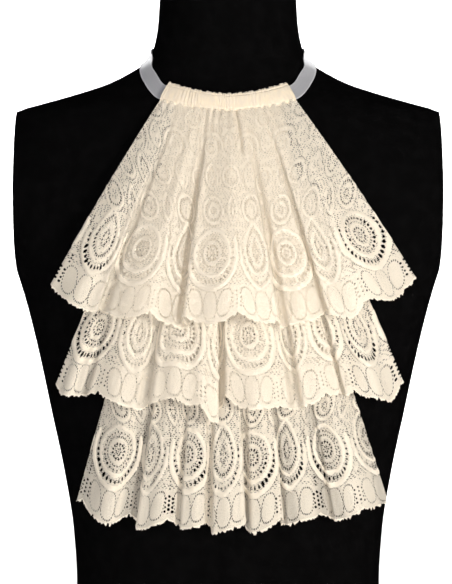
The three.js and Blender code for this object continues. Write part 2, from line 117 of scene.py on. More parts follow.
# The folds of each hem in turn: a broad face rises and falls, then a narrow hollow goes back and forth. Each of
# the four stretches has its length of cloth and its steepest turn in degrees.
TIERS = {
    "top": dict(
        folds=[(22, 32, 22, 38, 11, 72, 11, 70), (29, 24, 29, 28, 14, 66, 24, 118), (40, 28, 41, 28, 21, 106, 14, 66),
               (13, 18, 12, 18, 11, 84, 16, 108), (43, 36, 43, 40, 0, 0, 0, 0)],
        hem_start=-159, hem_lift=47, spread=1, opening=1, seam=None, phase=9,
    ),
    "middle": dict(
        folds=[(13, 62, 13, 56, 9, 66, 9, 66), (20, 28, 20, 28, 13, 52, 17, 74), (16, 22, 15, 18, 0, 0, 0, 0),
               (12, 30, 12, 34, 24, 122, 19, 84), (26, 32, 28, 34, 13, 58, 17, 80),
               (14, 28, 14, 28, 20, 118, 15, 90), (29, 40, 28, 42, 0, 0, 0, 0)],
        hem_start=-155, hem_lift=29, spread=0.85, opening=1.05, seam=(462, 70), phase=0,
    ),
    "bottom": dict(
        folds=[(29, 46, 27, 44, 9, 50, 17, 122), (16, 24, 15, 24, 9, 52, 14, 116), (9, 22, 8, 24, 12, 86, 14, 94),
               (12, 24, 12, 20, 22, 126, 14, 70), (12, 22, 12, 22, 15, 122, 8, 62), (18, 30, 19, 26, 8, 90, 8, 88),
               (29, 46, 28, 46, 0, 0, 0, 0)],
        hem_start=-137, hem_lift=11.5, spread=0.9, opening=0.9, seam=(359, 80), phase=17,
    ),
}

# Soft creases on top of the folds: along the cloth, from and to depth (share), width, height, sideways drift.
CREASES = {
    "top": [(38, 0.1, 0.9, 9, 1.3, 14), (96, 0.04, 0.8, 8, -1.5, -8), (150, 0.02, 0.95, 7, 1.2, 5),
            (232, -0.06, 0.24, 6, -3.2, 2), (318, 0.1, 0.95, 10, -1.4, -12),
            (366, 0.15, 1, 9, 1.2, -10)],
    "middle": [(30, 0.3, 1, 8, 1, 8), (118, 0.3, 1, 6, -1, -5), (196, 0.35, 1, 8, 1.1, 6),
               (262, 0.3, 0.95, 7, -1, 4), (352, 0.3, 1, 9, 1.1, -8)],
    "bottom": [(26, 0.3, 1, 8, 0.9, 6), (92, 0.3, 1, 6, -0.8, -4), (212, 0.35, 1, 7, 0.9, 5),
               (300, 0.3, 0.95, 7, -0.8, 5), (360, 0.3, 1, 9, 1, -6)],
}

# ---- The lace's design, in millimetres: across the repeat, and up from the deepest point of the hem ----


def both_ends(*row):
    """A table's row for each of the two ends of a scallop."""
    return (0, *row), (SCALLOP, *row)


# Cords that run all the way round alike: the turn, half the width, the height and the twist.
EVEN = (180, 1.2, 0.45, 0.5)
THIN = (180, 1, 0.35, 0.3)
THINNEST = (180, 0.9, 0.35, 0.3)

# Raised cords: middle across and up, half width, reach upwards, reach downwards, pointed (1) or round (0),
# how far round it runs from straight down (or from straight up where negative) in degrees,
# half the cord's width, its height, and how strongly its twist shows.
CORDS = [
    (26, 67, 28, 33, 33, 0, 114, 2.1, 0.7, 1),
    (26, 67, 20.5, 21.5, 21.5, 0, 180, 1.7, 0.6, 0.8),
    (26, 67, 10, 10.5, 10.5, 0, 180, 1.2, 0.45, 0.3),
    (78, 67, 19.6, 31, 34, 1, 102, 2.1, 0.7, 1),
    (78, 67, 13.4, 29, 22, 1, 180, 1.5, 0.55, 0.6),
    (78, 67, 7, 17, 12, 1, 180, 1, 0.45, 0.3),
    (26, 107, 13, 13, 12.5, 0, *EVEN),
    (26, 107, 6.5, 6.5, 6.5, 0, *THINNEST),
    (78, 108, 12, 14, 12, 0, *EVEN),
    (78, 108, 5.5, 7, 6, 1, *THINNEST),
    *both_ends(106, 6, 15, 13, 1, *THINNEST),
    (0, 138, 10.5, 10.5, 10.5, 0, 180, 1.1, 0.4, 0.4),
    (52, 139, 11, 11, 10, 0, 180, 1.1, 0.4, 0.4),
    (26, 139, 8, 13, 11, 1, *THIN),
    (78, 139, 7, 12, 11, 1, *THIN),
    (26, 168, 16, 15, 12, 0, -100, 1.2, 0.4, 0.4),
    (78, 168, 15, 14, 12, 0, -100, 1.2, 0.4, 0.4),
    (26, 167, 8, 8, 7, 0, *THIN),
    (78, 167, 7, 8, 7, 1, *THIN),
    *both_ends(172, 6, 11, 9, 1, *THINNEST),
    *both_ends(194, 12, 9, 8, 0, *THIN),
]

# Openings all the way round that are alike, from the widest to mere stitches: the turn, half the width twice,
# half the length and the pitch.
WIDE = (180, 1, 1, 0.9, 3.1)
MIDDLING = (180, 0.75, 0.75, 0.75, 2.6)
SMALL = (180, 0.7, 0.7, 0.7, 2.6)
SMALLEST = (180, 0.65, 0.65, 0.65, 2.4)
STITCHES = (180, 0.45, 0.45, 0.55, 1.9)

# Rows of openwork: the same oval, how far round it runs, half an opening's width at the bottom and at the
# sides, half its length along the row, and the row's pitch.
EYELETS = [
    (26, 67, 24.3, 27, 27.2, 0, 120, 3.1, 1.5, 1.7, 4.6),
    (26, 67, 16, 16.8, 16.8, 0, 180, 1.6, 1.5, 1.35, 4.2),
    (26, 67, 12.6, 13.2, 13.2, 0, *SMALL),
    (26, 67, 6.4, 6.7, 6.7, 0, 180, 1.2, 1.2, 1, 3.2),
    (26, 67, 2.4, 2.5, 2.5, 0, 180, 0.8, 0.8, 0.75, 2.5),
    (26, 67, 31, 36.2, 36.2, 0, 116, 0.5, 0.5, 0.6, 1.9),
    (78, 67, 16.6, 29, 27.8, 0, 108, 3.1, 1.3, 1.7, 4.6),
    (78, 67, 10.2, 23, 17, 1, 180, 1.15, 1, 1, 3.3),
    (78, 67, 22.6, 35, 37, 1, 106, 0.5, 0.5, 0.6, 1.9),
    (78, 67, 2.8, 9.5, 7, 1, 180, 0.8, 0.8, 0.85, 2.8),
    (26, 107, 9.7, 9.7, 9.6, 0, *WIDE),
    (26, 107, 3, 3, 3, 0, 180, 0.8, 0.8, 0.7, 2.4),
    (26, 107, 15.4, 15.6, 15, 0, *STITCHES),
    (78, 108, 8.8, 10.4, 9, 0, *WIDE),
    (78, 108, 14.4, 16.6, 14.6, 0, *STITCHES),
    *both_ends(106, 8, 18, 16, 1, *STITCHES),
    *both_ends(106, 2.4, 10, 8, 1, *SMALL),
    (0, 138, 7.4, 7.4, 7.4, 0, *MIDDLING),
    (0, 138, 12.8, 12.8, 12.8, 0, *STITCHES),
    (52, 139, 7.6, 7.8, 7, 0, *MIDDLING),
    (52, 139, 13.2, 13.2, 12.2, 0, *STITCHES),
    (26, 139, 4.6, 9, 7.4, 1, *SMALL),
    (26, 139, 10.2, 16, 14, 1, *STITCHES),
    (78, 139, 9.2, 15, 14, 1, *STITCHES),
    (26, 168, 19, 18, 15, 0, -104, 0.5, 0.5, 0.6, 2),
    (78, 168, 18, 17, 15, 0, -104, 0.5, 0.5, 0.6, 2),
    (26, 168, 12, 11.4, 10, 0, -130, 0.7, 0.7, 0.75, 2.7),
    (78, 168, 11, 11, 10, 0, -130, 0.7, 0.7, 0.75, 2.7),
    (26, 167, 4.6, 4.6, 4, 0, *SMALLEST),
    *both_ends(172, 8, 13.4, 11.4, 1, *STITCHES),
    *both_ends(194, 8, 6, 5.4, 0, *SMALLEST),
]

# How far the larger openings stand open: everywhere (share), and the places on the cloth where they are drawn
# wide open: along the cloth, up from the hem, and the reach of the place.
OPEN_SHARE = {"top": 0.5, "middle": 0.5, "bottom": 0.6}
OPEN_PLACES = {
    "top": [(10, 55, 42), (405, 70, 48), (0, 150, 36), (416, 150, 40), (228, 28, 12)],
    "middle": [(16, 55, 32), (142, 72, 26), (176, 22, 14), (318, 66, 22), (400, 40, 30), (416, 110, 30)],
    "bottom": [(14, 44, 22), (262, 46, 20), (322, 40, 26), (318, 96, 20), (150, 62, 16), (202, 96, 20), (118, 24, 14),
               (232, 22, 12), (390, 120, 30), (60, 84, 16)],
}

# The ground of each tier against its cords: how pale it is, and how see-through.
GROUND_SHADE = {"top": 0.97, "middle": 0.97, "bottom": 0.96}
GROUND_SHEER = {"top": 0.15, "middle": 0.2, "bottom": 0.26}
HOLLOW_SHADE_SHEER = 0.38  # painted shade: how much more see-through the ground is in the hollows of the folds, so that what lies behind darkens them
CORD_SHADE = 0.96
SLIT_PAINTED_SHADOW = 0.8  # painted shadow round each slit, where shade falls in the opening

# Where a tier hangs lower (or, below 0, higher) than its even length: place along the cloth, reach, and how much.
HEM_DROPS = {
    "top": [(4, 13, -2), (46, 14, 3), (196, 16, 3), (262, 10, 5), (318, 14, -3), (352, 12, 6), (412, 13, -3)],
    "middle": [(6, 12, 6), (96, 12, 5), (128, 13, -9), (168, 11, 13), (206, 10, -6), (262, 14, 5), (338, 18, -8),
               (404, 13, 9)],
    "bottom": [(4, 11, -4), (36, 10, 3), (84, 9, 4), (176, 12, 5), (216, 7, -5), (240, 12, 4), (300, 12, -4),
               (388, 12, -4)],
}

# Petals along the hem of each scallop: middle across from the scallop's own middle, middle up, half width,
# half height, and how far it leans.
PETALS = [(-14.6, 19.6, 5.7, 10.8, -0.14), (0, 18.2, 6, 11.8, 0), (14.6, 19.6, 5.7, 10.8, 0.14)]
PETAL_SQUARE = 2.6  # how square a petal is (2 is an ellipse)
PETAL_STITCH = (0.5, 0.6, 1.95)  # the stitches round it: half width, half length and pitch
STITCH_OFF = 0.75  # from the petal's edge to the middle of its stitches

# Upright ladders and open nets: middle across, from and to height, half an opening across and up, pitch up,
# and the share of a pitch by which they are moved.
UPRIGHT_ROWS = [
    *both_ends(12.5, 31, 1.5, 1.55, 3.9, 0),
    (-3.7, 13, 30, 1.45, 1.5, 3.9, 0.5), (3.7, 13, 30, 1.45, 1.5, 3.9, 0.5),
    (48.3, 13, 30, 1.45, 1.5, 3.9, 0.5), (55.7, 13, 30, 1.45, 1.5, 3.9, 0.5),
    (0, 33, 44, 1.2, 1.2, 3.4, 0), (56, 33, 44, 1.2, 1.2, 3.4, 0),
    (56.4, 60, 86, 0.9, 0.9, 2.9, 0), (99.6, 60, 86, 0.9, 0.9, 2.9, 0),
]

CORD_RISE = 1.4  # the cords' height against their table
PETAL_RISE = 0.25  # height of a petal's dome
HEM_RISE = 0.55  # height of the hem's cord
LARGE_ROUND = 1.2  # half the width from which an opening in a ring is large
LARGE_UPRIGHT = 1  # and in an upright row
FAR = 9  # half widths from a row at which nothing of it is left
LEFT_OUT = 0.9  # a face that lies whole within this share of an opening is left out; the material cuts the rest
WAY_START = 64  # keeps the way along a row above 0

# The net opens where the product of its two waves passes this, on the ground, on petals, and never on cords.
NET_OPEN, NET_PETAL, NET_SHUT = 0.84, 0.8, 1.2
NET_PITCH = (0.78, 0.83)  # across and along
SLIT_PITCH = (3.9, 1.7)  # along a row, and from row to row
SLITS_FROM = 34  # height above which the ground has slits
PICOT_PITCH = 3.7
CORD_TWIST = 2.7

# ---- The studio: its paper sweep in millimetres, its lamps in metres ----

SWEEP = dict(reach=5200, bend=600, wall=2200)  # flat floor's radius, the bend's radius, the wall's height
PAPER_WHITE = (0.93, 0.93, 0.93)
ROOM_LIGHT = ((0.9, 0.92, 1, 1), 0.28)  # colour and strength
# Each lamp: where it stands, where it points, its setting and its share of that, its size and its colour.
LAMPS = {
    "key": ((1.55, -2.5, 0.42), (0.05, 0, 0.24), "key", 1, 0.6, (1, 0.985, 0.96)),
    "fill": ((-0.5, -2.9, 0.15), (0, 0, 0.17), "fill", 1, 0.8, (0.94, 0.955, 1)),
    "wall_left": ((-1.6, 3.4, 2.4), (-0.4, 5.8, 0.5), "sweep", 1, 1, (1, 1, 1)),
    "wall_right": ((1.6, 3.4, 2.4), (0.4, 5.8, 0.5), "sweep", 1, 1, (1, 1, 1)),
    "floor_left": ((-1.1, 1.7, 1.5), (-0.5, 2, 0), "sweep", 0.2, 1, (1, 1, 1)),
    "floor_right": ((1.1, 1.7, 1.5), (0.5, 2, 0), "sweep", 0.2, 1, (1, 1, 1)),
}


# ---- Curves and the form's skin ----


def curve_through(table, column):
    """A smooth curve through one column of a table. Between two rows it is a cubic, whose slope at each row
    is the harmonic mean of the slopes on its two sides, so that it never swings past a row."""
    x, y = table[:, 0], table[:, column]
    slope = np.diff(y) / np.diff(x)
    before, after = np.append(slope[0], slope), np.append(slope, slope[-1])
    alike = before * after > 0
    at_row = np.where(alike, 2 * before * after / np.where(alike, before + after, 1), 0)

    def curve(at):
        i = np.clip(np.searchsorted(x, at, side="right") - 1, 0, len(slope) - 1)
        span = x[i + 1] - x[i]
        t = np.clip((at - x[i]) / span, 0, 1)
        rest = 1 - t
        ends = y[i] * rest**2 * (1 + 2 * t) + y[i + 1] * t**2 * (1 + 2 * rest)
        return ends + span * t * rest * (at_row[i] * rest - at_row[i + 1] * t)

    return curve


half_width_at, front_at, back_at, square_at = (curve_through(FORM_SECTIONS, k) for k in range(1, 5))
neckline_at = curve_through(NECKLINE, 1)


def smooth(t):
    """Goes from 0 to 1 with level ends, as t squared times three less two t."""
    t = np.clip(t, 0, 1)
    return t * t * (3 - 2 * t)


def mix(a, b, t):
    """The point a share t of the way from a to b."""
    return a + (b - a) * t


def skin_radius(bearing, z):
    """Distance of the skin from the upright axis: a superellipse of the half width and of the front or back
    depth at that height, at a bearing in degrees from straight ahead."""
    power = square_at(z)
    ahead = np.cos(np.radians(bearing))
    depth = np.where(ahead > 0, front_at(z), back_at(z))
    across = np.abs(np.sin(np.radians(bearing))) / half_width_at(z)
    return (across**power + (np.abs(ahead) / depth) ** power) ** (-1 / power)


def chest_y(x, z):
    """Y of the form's front at x and z, from the same superellipse."""
    power = square_at(z)
    return -front_at(z) * (1 - np.abs(x / half_width_at(z)) ** power) ** (1 / power)


def hanging_y(x, z):
    """Y of cloth that hangs free below the chest's fullest height, and falls back with the square of x."""
    return SIDE_FALL * x * x - front_at(np.maximum(z, HANG_Z))


def neck_points(bearing, up, lift):
    """Points near the neckline: up from its middle along the skin's own slope, and lifted square off it."""
    bearing, up, lift = np.broadcast_arrays(*(np.asarray(v, float) for v in (bearing, up, lift)))
    middle = neckline_at(np.abs(np.where(bearing > 180, bearing - 360, bearing)))
    reach = CASING_HEIGHT / 2
    slope = (skin_radius(bearing, middle + reach) - skin_radius(bearing, middle - reach)) / (2 * reach)
    tilt = np.hypot(1, slope)
    z = middle + up / tilt
    radius = skin_radius(bearing, z) + lift / tilt
    angle = np.radians(bearing)
    return np.stack([radius * np.sin(angle), -radius * np.cos(angle), z - lift * slope / tilt], -1)


# ---- Meshes ----


def grid_quads(rows, columns, wrap=False):
    """Corner numbers of the quads of a grid whose columns run to the right and whose rows run down."""
    i, j = np.meshgrid(np.arange(rows - 1), np.arange(columns if wrap else columns - 1), indexing="ij")
    here, right = i * columns + j, i * columns + (j + 1) % columns
    return np.stack([here, here + columns, right + columns, right], -1).reshape(-1, 4)


def new_piece(name, points, quads, triangles=(), material=None):
    """Makes a mesh object at the origin from points in millimetres, quads and triangles, shaded smooth."""
    mesh = bpy.data.meshes.new(name)
    triangles = np.asarray(triangles, int).reshape(-1, 3)
    corners = np.concatenate([quads.ravel(), triangles.ravel()])
    starts = np.concatenate([np.arange(len(quads)) * 4, len(quads) * 4 + np.arange(len(triangles)) * 3])
    mesh.vertices.add(len(points))
    mesh.vertices.foreach_set("co", (np.asarray(points) * MM).ravel())
    mesh.loops.add(len(corners))
    mesh.loops.foreach_set("vertex_index", corners)
    mesh.polygons.add(len(starts))
    mesh.polygons.foreach_set("loop_start", starts)
    mesh.polygons.foreach_set("use_smooth", np.ones(len(starts), bool))
    mesh.update(calc_edges=True)
    mesh.validate()
    piece = bpy.data.objects.new(name, mesh)
    bpy.context.scene.collection.objects.link(piece)
    if material:
        mesh.materials.append(material)
    return piece


def add_map(piece, across, along):
    """Gives the piece's corners their place on the cloth in metres, as its UV map."""
    layer = piece.data.uv_layers.new(name="cloth")
    layer.data.foreach_set("uv", (np.stack([across, along], -1) * MM).ravel())


def add_corners(piece, name, values):
    """Gives the piece's corners three numbers each, for its material to read."""
    layer = piece.data.attributes.new(name=name, type="FLOAT_VECTOR", domain="CORNER")
    layer.data.foreach_set("vector", np.ascontiguousarray(values, np.float32).ravel())


def give_thickness(piece, thickness):
    """Makes a sheet a wall of a thickness in metres, half of it on each side."""
    wall = piece.modifiers.new("thickness", "SOLIDIFY")
    wall.thickness, wall.offset = thickness, 0


def tube_piece(name, rings, material, spacing):
    """A closed skin round a stack of closed rings (rings, points round, xyz), with a flat end on each side.
    The UV map holds the way along the rings and the way round them, from the mean spacing of both in
    millimetres."""
    count, around, _ = rings.shape
    quads = grid_quads(count, around, wrap=True)
    points = np.concatenate([rings.reshape(-1, 3), rings[[0, -1]].mean(1)])
    k = np.arange(around)
    n = (k + 1) % around
    last = (count - 1) * around
    triangles = np.concatenate([
        np.stack([np.full(around, len(points) - 2), k, n], -1),
        np.stack([np.full(around, len(points) - 1), last + n, last + k], -1),
    ])
    piece = new_piece(name, points, quads, triangles, material)
    ring, place = np.divmod(np.concatenate([quads.ravel(), triangles.ravel()]), around)
    add_map(piece, np.minimum(ring, count - 1) * spacing[0], place * spacing[1])
    return piece


# ---- Materials ----


class Amount:
    """A number or colour that differs over a surface: the output of a node. Sums and products of amounts are
    nodes too."""

    def __init__(self, nodes, socket):
        self.nodes, self.socket = nodes, socket

    def __add__(self, other):
        return self.nodes.math("ADD", self, other)

    def __sub__(self, other):
        return self.nodes.math("SUBTRACT", self, other)

    def __rsub__(self, other):
        return self.nodes.math("SUBTRACT", other, self)

    def __mul__(self, other):
        return self.nodes.math("MULTIPLY", self, other)

    def __truediv__(self, other):
        return self.nodes.math("DIVIDE", self, other)

    def __abs__(self):
        return self.nodes.math("ABSOLUTE", self)


class Nodes:
    """A material with a Principled shader, and short ways of adding and linking the nodes that feed it."""

    def __init__(self, name):
        self.material = bpy.data.materials.new(name)
        self.material.use_nodes = True
        self.tree = self.material.node_tree
        self.tree.nodes.clear()
        self.shader = self.tree.nodes.new("ShaderNodeBsdfPrincipled")
        self.output = self.tree.nodes.new("ShaderNodeOutputMaterial")
        self.tree.links.new(self.shader.outputs[0], self.output.inputs[0])

    def add(self, kind, inputs=(), output=0, **settings):
        """A node of a kind, with its settings, and its inputs as values or as amounts."""
        node = self.tree.nodes.new(kind)
        for key, value in settings.items():
            setattr(node, key, value)
        for key, value in dict(inputs).items():
            self.feed(node.inputs[key], value)
        return Amount(self, node.outputs[output])

    def feed(self, socket, value):
        """Links an amount to an input, or sets the input's own value."""
        if isinstance(value, Amount):
            self.tree.links.new(value.socket, socket)
        else:
            socket.default_value = value

    def set(self, **inputs):
        """Sets or links the shader's inputs, named with _ for a space."""
        for key, value in inputs.items():
            self.feed(self.shader.inputs[key.replace("_", " ")], value)

    def math(self, operation, *values):
        """One step of arithmetic."""
        return self.add("ShaderNodeMath", enumerate(values), operation=operation)

    def wave(self, way, length):
        """A sine wave along a way, by its length."""
        return self.math("SINE", way * (TAU / length))

    def off_middle(self, cells):
        """How far a place lies from the middle of its cell, from 0 to a half."""
        return abs(self.math("FRACT", cells) - 0.5)

    def ramp(self, value, low, high, to_low=0.0, to_high=1.0):
        """Value carried smoothly from low..high to another range."""
        inputs = {"Value": value, 1: low, 2: high, 3: to_low, 4: to_high}
        return self.add("ShaderNodeMapRange", inputs, interpolation_type="SMOOTHSTEP")

    def split(self, vector):
        """The three parts of a vector."""
        node = self.tree.nodes.new("ShaderNodeSeparateXYZ")
        self.feed(node.inputs[0], vector)
        return [Amount(self, part) for part in node.outputs]

    def corners(self, name):
        """The three numbers that the piece's corners carry under a name."""
        return self.split(self.add("ShaderNodeAttribute", output=1, attribute_name=name))

    def scaled(self, vector, *by):
        """A vector with each part scaled by its own number."""
        return self.add("ShaderNodeVectorMath", {0: vector, 1: by}, operation="MULTIPLY")

    def cloth(self, across, along):
        """The piece's own UV map, scaled both ways."""
        return self.scaled(self.add("ShaderNodeUVMap", uv_map="cloth"), across, along, 1)

    def cloth_mm(self):
        """The place on the cloth in millimetres, across and along."""
        return self.split(self.cloth(1 / MM, 1 / MM))[:2]

    def place(self, by):
        """Object coordinates, scaled."""
        return self.scaled(self.add("ShaderNodeTexCoord", output=3), by, by, by)

    def noise(self, vector, detail=2.0):
        """Soft noise round a half, one lump to each unit of the vector."""
        return self.add("ShaderNodeTexNoise", {"Vector": vector, "Scale": 1.0, "Detail": detail})

    def colours(self, factor, first, second):
        """A colour between two, by a factor."""
        node = self.tree.nodes.new("ShaderNodeMix")
        node.data_type = "RGBA"
        for key, value in (("Factor_Float", factor), ("A_Color", first), ("B_Color", second)):
            self.feed(next(s for s in node.inputs if s.identifier == key), value)
        return Amount(self, next(s for s in node.outputs if s.identifier == "Result_Color"))

    def bump(self, height, strength, distance):
        """The surface's direction where a height, in units of a distance in metres, roughens it."""
        return self.add("ShaderNodeBump", {"Height": height, "Strength": strength, "Distance": distance})

    def let_through(self, share, colour):
        """Mixes in, by a share, the light that comes through from behind."""
        glow = self.add("ShaderNodeBsdfTranslucent", {"Color": colour})
        face = Amount(self, self.shader.outputs[0])
        self.feed(self.output.inputs[0], self.add("ShaderNodeMixShader", {0: share, 1: face, 2: glow}))


def tint(colour, by=1.0):
    """A colour made lighter or darker by one share or by three, with its alpha."""
    return tuple(min(c * share, 1) for c, share in zip(colour[:3], np.broadcast_to(by, 3))) + (1,)


def lace_material(tier, colour):
    """Ivory cotton lace, whose ground is darker and thinner than its cords by the tier's own shade. Openwork is
    cut where a corner's distance from its row and its place along the row lie inside an ellipse. The ground is
    a fine net with short slits in wavy rows, cords are twisted, and the hem has picots."""
    n = Nodes(f"ivory_lace_{tier}")
    off, along, gap = n.corners("eyelets")
    hem, net, ground = n.corners("place")
    across, cord_along, cord = n.corners("cord")
    hollow, _, _ = n.corners("hollow")
    u, w = n.cloth_mm()

    in_cell = (n.math("FRACT", along) - 0.5) / gap
    reach = n.math("SQRT", off * off + in_cell * in_cell)
    eyelet = n.ramp(reach, 1.08, 0.92)

    drift = (n.noise(n.cloth(900, 900)) - 0.5) * 0.9
    threads = abs(n.wave(u + drift, 2 * NET_PITCH[0])) * abs(n.wave(w - drift, 2 * NET_PITCH[1]))
    net_hole = n.ramp(threads - net, -0.05, 0.05)

    row = w / SLIT_PITCH[1]
    shift = n.math("FRACT", n.math("SINE", n.math("FLOOR", row) * 12.7) * 43.1)
    slit_u = n.off_middle(u / SLIT_PITCH[0] + shift)
    wavy = row + n.wave(u, 6.1) * 0.16
    slit_w = n.off_middle(wavy)
    patch = n.noise(n.cloth(160, 230), 1.0)
    slit = n.ramp(slit_u, 0.27, 0.19) * n.ramp(slit_w, 0.27, 0.17) * n.ramp(patch, 0.44, 0.52) * ground
    # Painted shadow round each slit: the ground beside it is darkened as if shade fell in the opening.
    slit_shadow = n.ramp(slit_u, 0.38, 0.24) * n.ramp(slit_w, 0.42, 0.22) * n.ramp(patch, 0.42, 0.5) * ground

    picot = abs(n.math("COSINE", u * (np.pi / PICOT_PITCH))) * 0.8
    uneven = n.noise(n.cloth(270, 130), 4.0) * 10
    edge = n.ramp(hem + 4.4 - (picot + uneven), -0.08, 0.08)

    raised = n.math("MAXIMUM", n.ramp(cord, 0.1, 0.4), n.ramp(hem, 3.0, 2.2))
    # Painted shade: in the hollows of the folds the ground is made more see-through, so that what lies behind darkens
    # them.
    thin = (1 - raised) * (hollow * HOLLOW_SHADE_SHEER + GROUND_SHEER[tier])
    solid = edge * (1 - eyelet) * (1 - net_hole) * (1 - slit) * (1 - thin)
    n.set(Alpha=solid)

    flecks = n.noise(n.cloth(330, 760), 3.0)
    twist = n.wave(cord_along + across * 1.3, CORD_TWIST)
    height = threads * -0.1 + twist * cord * 0.16
    height = height + n.ramp(reach, 1.9, 1.05) * 0.22 + n.ramp(flecks, 0.35, 0.65) * 0.3
    n.set(Normal=n.bump(height, 0.7, 0.001), Specular_IOR_Level=0.2, Sheen_Weight=0.15, Sheen_Roughness=0.5)

    shade = GROUND_SHADE[tier]
    body = n.colours(n.ramp(flecks, 0.4, 0.62), tint(colour, shade), tint(colour, (1 + shade) / 2))
    # The ground takes the painted shadow beside its slits.
    body = n.colours(slit_shadow, body, tint(colour, SLIT_PAINTED_SHADOW))
    n.set(Base_Color=n.colours(raised, body, tint(colour, CORD_SHADE)), Roughness=0.86)
    n.let_through(solid * 0.4, (0.96, 0.92, 0.85, 1))
    return n.material


def casing_material(colour):
    """The same lace folded into a tunnel and drawn up: dense, with fine threads across and a faint pattern."""
    n = Nodes("gathered_ivory_lace")
    u, w = n.cloth_mm()
    threads = n.wave(u, 0.9) * n.wave(w, 0.8)
    mottle = n.noise(n.cloth(260, 140), 3.0)
    dark, pale = (tint(colour, shade) for shade in CASING_SHADES)
    n.set(Base_Color=n.colours(n.ramp(mottle, 0.35, 0.7), dark, pale), Roughness=0.85)
    n.set(Normal=n.bump(threads * 0.05 + mottle * 0.3, 0.6, 0.001), Sheen_Weight=0.25, Specular_IOR_Level=0.2)
    return n.material


def satin_material(colour):
    """Satin ribbon: long fine floats along it, a soft sheen, and a plain-woven selvedge on both sides."""
    n = Nodes("soft_satin")
    u, w = n.cloth_mm()
    floats = n.noise(n.cloth(25, 2600))
    selvedge = n.ramp(abs(w), 6.5, 7.1)
    body = n.colours(n.ramp(floats, 0.3, 0.7), tint(colour, 0.94), tint(colour, 1.03))
    n.set(Base_Color=n.colours(selvedge, body, tint(colour, 1.35)), Roughness=n.ramp(selvedge, 0.0, 1.0, 0.34, 0.6))
    height = floats * 0.25 + n.wave(u, 0.7) * selvedge * 0.2
    n.set(Normal=n.bump(height, 0.35, 0.0006), Anisotropic=0.4, Sheen_Weight=0.2)
    return n.material


def cover_material(colour):
    """Black stretch jersey, drawn smooth over the form: very matte, with fine upright ribs of knitting."""
    n = Nodes("black_jersey")
    x, y, z = n.split(n.place(1 / MM))
    knitting = n.wave(x + y * 0.7, 1.3) * n.wave(z, 1.1)
    lint = n.noise(n.place(90), 4.0)
    n.set(Base_Color=n.colours(n.ramp(lint, 0.35, 0.75), tint(colour), tint(colour, 1.5)), Roughness=0.95)
    n.set(Normal=n.bump(knitting, 0.25, 0.0004), Specular_IOR_Level=0.0)
    return n.material


def backing_material(colour):
    """Plain-woven cotton with its thread crossings and a little slub."""
    n = Nodes("plain_cotton")
    u, w = n.cloth_mm()
    weave = n.wave(u, 0.9) * n.wave(w, 0.9)
    slub = n.noise(n.cloth(40, 700), 3.0)
    n.set(Base_Color=n.colours(n.ramp(slub, 0.35, 0.7), tint(colour, 0.94), tint(colour, 1.03)), Roughness=0.9)
    n.set(Normal=n.bump(weave * 0.2 + slub * 0.4, 0.5, 0.0006), Specular_IOR_Level=0.2)
    return n.material


def paper_material():
    """Even white paper."""
    n = Nodes("white_paper")
    n.set(Base_Color=tint(PAPER_WHITE), Roughness=0.95, Specular_IOR_Level=0.0)
    return n.material


# ---- The lace's design on the cloth ----


def oval(u, w, middle_u, middle_w, half, up, down, pointed):
    """Distance outside an oval, and the way round it from straight down, in millimetres. A round one is two
    half ellipses, whose distance is its level set's excess over its slope. A pointed one is where two
    circles overlap, each through both points and through one side."""
    x = (u - middle_u + LACE_REPEAT / 2) % LACE_REPEAT - LACE_REPEAT / 2
    y = w - middle_w
    tall = np.where(y > 0, up, down)
    level = np.hypot(x / half, y / tall)
    slope = np.maximum(np.hypot(x / half**2, y / tall**2), 1e-6)
    around = np.arctan2(x / half, -y / tall)
    if pointed:
        inset = (tall**2 - half**2) / (2 * half)
        off = np.hypot(np.abs(x) + inset, y) - inset - half
    else:
        off = (level - 1) * np.maximum(level, 0.3) / slope
    return off, around * (half + tall) / 2, np.degrees(around)


def within(turn, reach):
    """How well a bearing lies within reach of straight down, or of straight up where reach is negative:
    1 inside, falling to 0 over the last six degrees."""
    away = np.abs(turn) if reach > 0 else 180 - np.abs(turn)
    return np.where(abs(reach) >= 180, 1, smooth((abs(reach) - away) / 6))


def scallop_notch(cloth):
    """How much shorter than its deepest point the lace is along its hem: a rounded arch for each scallop."""
    return SCALLOP_DEPTH * (1 - np.abs(np.sin(np.pi * cloth / SCALLOP)) ** 0.75)


def petal(u, w, place):
    """Distance outside a petal, a leaning superellipse, and the way round it from straight down."""
    shift, middle, half, tall, lean = place
    y = w - middle - 0.4 * scallop_notch(u)
    x = (u - shift) % SCALLOP - SCALLOP / 2 - lean * y
    level = ((np.abs(x) / half) ** PETAL_SQUARE + (np.abs(y) / tall) ** PETAL_SQUARE) ** (1 / PETAL_SQUARE)
    around = np.arctan2(np.abs(x) / half, -y / tall)
    return (level - 1) * half, around * (half + tall) / 2


def cord_field(u, w):
    """For each place on the cloth: the nearest cord's height there (a rounded ridge over its width, narrower
    at a ring's open ends), and then the place across it from -1 to 1, the way along it, and its twist."""
    best = np.full(u.shape, -1.0)
    found = np.zeros(u.shape + (3,))
    for *shape, reach, width, high, twist in CORDS:
        off, along, turn = oval(u, w, *shape)
        there = within(turn, reach)
        here = width * (0.45 + 0.55 * there) * (there > 0)
        ridge = np.sqrt(np.clip(1 - (off / np.maximum(here, 0.1)) ** 2, 0, None)) * (here > 0) * high * CORD_RISE
        better = ridge > best
        best = np.where(better, ridge, best)
        found[better] = np.stack([off / width, along, ridge * max(twist, 0.15)], -1)[better]
    return best, found


def petal_field(u, w):
    """The nearest petal's distance outside and the way round it."""
    fields = [petal(u, w, place) for place in PETALS]
    offs = np.stack([f[0] for f in fields])
    which = np.argmin(offs, 0)[None]
    return tuple(np.take_along_axis(np.stack([f[k] for f in fields]), which, 0)[0] for k in (0, 1))


